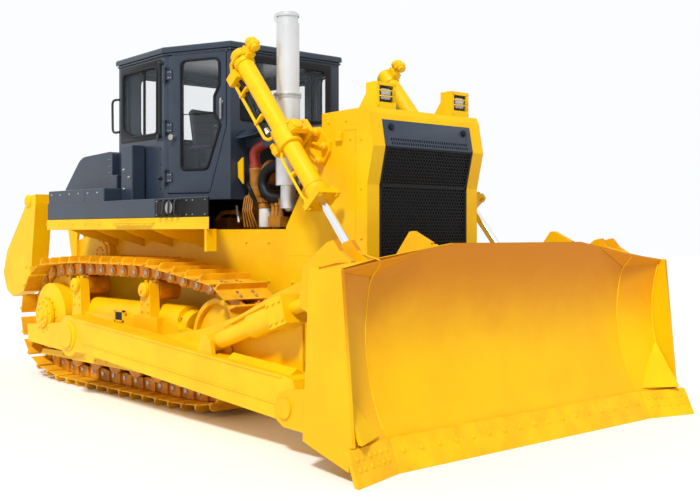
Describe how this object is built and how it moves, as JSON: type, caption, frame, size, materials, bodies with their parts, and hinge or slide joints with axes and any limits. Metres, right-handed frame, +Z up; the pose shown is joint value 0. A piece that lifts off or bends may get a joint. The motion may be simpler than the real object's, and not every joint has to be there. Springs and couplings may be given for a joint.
{
  "type": "crawler bulldozer",
  "caption": "Large tracked bulldozer with a wide curved blade on push arms, open engine bay, six-sided cab, twin lift cylinders and a rear ripper.",
  "frame": {"origin": "on the ground under the middle of the machine's outline", "axes": "+X forward, +Y to the machine's left, +Z up"},
  "size_m": [8.0408, 4.13, 3.6859],
  "materials": {
    "body_yellow": "gloss",
    "cab_grey": "gloss",
    "track_steel": "satin",
    "roller_steel": "satin",
    "engine_paint": "satin",
    "grille_black": "satin",
    "stack_silver": "satin",
    "window_glass": "gloss",
    "seat_black": "satin",
    "trim_black": "matte",
    "edge_steel": "satin",
    "rod_chrome": "polished"
  },
  "bodies": {
    "machine": {"track_right": "track_steel", "track_left": "track_steel", "drive_sprockets": "body_yellow", "idlers": "body_yellow", "track_frames": "body_yellow", "track_rollers": "roller_steel", "carrier_rollers": "roller_steel", "equalizer_bar": "body_yellow", "main_frame": "body_yellow", "engine": "engine_paint", "radiator_guard": "body_yellow", "radiator_grille": "grille_black", "engine_hood": "cab_grey", "head_lamps": "body_yellow", "exhaust_stack": "stack_silver", "decks": "body_yellow", "side_boxes": "cab_grey", "rear_tank": "cab_grey", "cab_shell": "cab_grey", "cab_roof": "cab_grey", "cab_glass": "window_glass", "operator_seat": "seat_black", "control_console": "trim_black", "arm_trunnions": "body_yellow", "lift_yokes": "body_yellow", "ripper_mount": "body_yellow"},
    "blade": {"blade": "body_yellow", "cutting_edge": "edge_steel", "end_bits": "edge_steel", "push_arms": "body_yellow", "tilt_cylinder": "body_yellow", "tilt_brace": "body_yellow"},
    "lift_barrel_right": {"lift_barrel_right": "body_yellow"},
    "lift_barrel_left": {"lift_barrel_left": "body_yellow"},
    "lift_rod_right": {"lift_rod_right": "rod_chrome"},
    "lift_rod_left": {"lift_rod_left": "rod_chrome"},
    "door_right": {"cab_door_right": "cab_grey", "door_glass_right": "window_glass"},
    "door_left": {"cab_door_left": "cab_grey", "door_glass_left": "window_glass"},
    "ripper_arm": {"ripper_arm": "body_yellow"},
    "ripper_top_links": {"ripper_top_links": "body_yellow"},
    "ripper_beam": {"ripper_beam": "body_yellow", "ripper_shank": "edge_steel"},
    "ripper_barrels": {"ripper_barrels": "body_yellow"},
    "ripper_rods": {"ripper_rods": "rod_chrome"}
  },
  "joints": [
    {"name": "blade_lift", "type": "hinge", "parent": "machine", "child": "blade", "pos_m": [-0.6244, 0, 0.62], "axis": [0, -1, 0], "range_deg": [-7, 16]},
    {"name": "lift_barrel_right", "type": "hinge", "parent": "machine", "child": "lift_barrel_right", "pos_m": [1.8456, -0.93, 2.47], "axis": [0, -1, 0], "range_deg": [-9.5, 21]},
    {"name": "lift_barrel_left", "type": "hinge", "parent": "machine", "child": "lift_barrel_left", "pos_m": [1.8456, 0.93, 2.47], "axis": [0, -1, 0], "range_deg": [-9.5, 21]},
    {"name": "lift_rod_right", "type": "slide", "parent": "lift_barrel_right", "child": "lift_rod_right", "axis": [0.6516, 0, -0.7585], "range_m": [-0.86, 0.38]},
    {"name": "lift_rod_left", "type": "slide", "parent": "lift_barrel_left", "child": "lift_rod_left", "axis": [0.6516, 0, -0.7585], "range_m": [-0.86, 0.38]},
    {"name": "door_right", "type": "hinge", "parent": "machine", "child": "door_right", "pos_m": [-0.04602, -0.99775, 2.7], "axis": [0, 0, -1], "range_deg": [0, 100]},
    {"name": "door_left", "type": "hinge", "parent": "machine", "child": "door_left", "pos_m": [-0.04602, 0.99775, 2.7], "axis": [0, 0, 1], "range_deg": [0, 100]},
    {"name": "ripper_lift", "type": "hinge", "parent": "machine", "child": "ripper_arm", "pos_m": [-2.6344, 0, 1.02], "axis": [0, -1, 0], "range_deg": [-15, 30]},
    {"name": "ripper_top", "type": "hinge", "parent": "machine", "child": "ripper_top_links", "pos_m": [-2.6344, 0, 1.95], "axis": [0, -1, 0], "range_deg": [-15.5, 30.5]},
    {"name": "ripper_level", "type": "hinge", "parent": "ripper_arm", "child": "ripper_beam", "pos_m": [-3.2744, 0, 1.11], "axis": [0, -1, 0], "range_deg": [-30.5, 15.5]},
    {"name": "ripper_barrels", "type": "hinge", "parent": "machine", "child": "ripper_barrels", "pos_m": [-2.6144, 0, 1.9], "axis": [0, -1, 0], "range_deg": [-4, 9]},
    {"name": "ripper_rods", "type": "slide", "parent": "ripper_barrels", "child": "ripper_rods", "axis": [-0.6019, 0, -0.7986], "range_m": [-0.14, 0.26]}
  ],
  "couplings": [
    {"joint": "lift_barrel_right", "follows": "blade_lift", "ratio": 1.27},
    {"joint": "lift_barrel_left", "follows": "blade_lift", "ratio": 1.27},
    {"joint": "lift_rod_right", "follows": "blade_lift", "m_per_rad": -3.01},
    {"joint": "lift_rod_left", "follows": "blade_lift", "m_per_rad": -3.01},
    {"joint": "ripper_top", "follows": "ripper_lift", "ratio": 1},
    {"joint": "ripper_level", "follows": "ripper_lift", "ratio": -1},
    {"joint": "ripper_barrels", "follows": "ripper_lift", "ratio": 0.22},
    {"joint": "ripper_rods", "follows": "ripper_lift", "m_per_rad": 0.47}
  ]
}
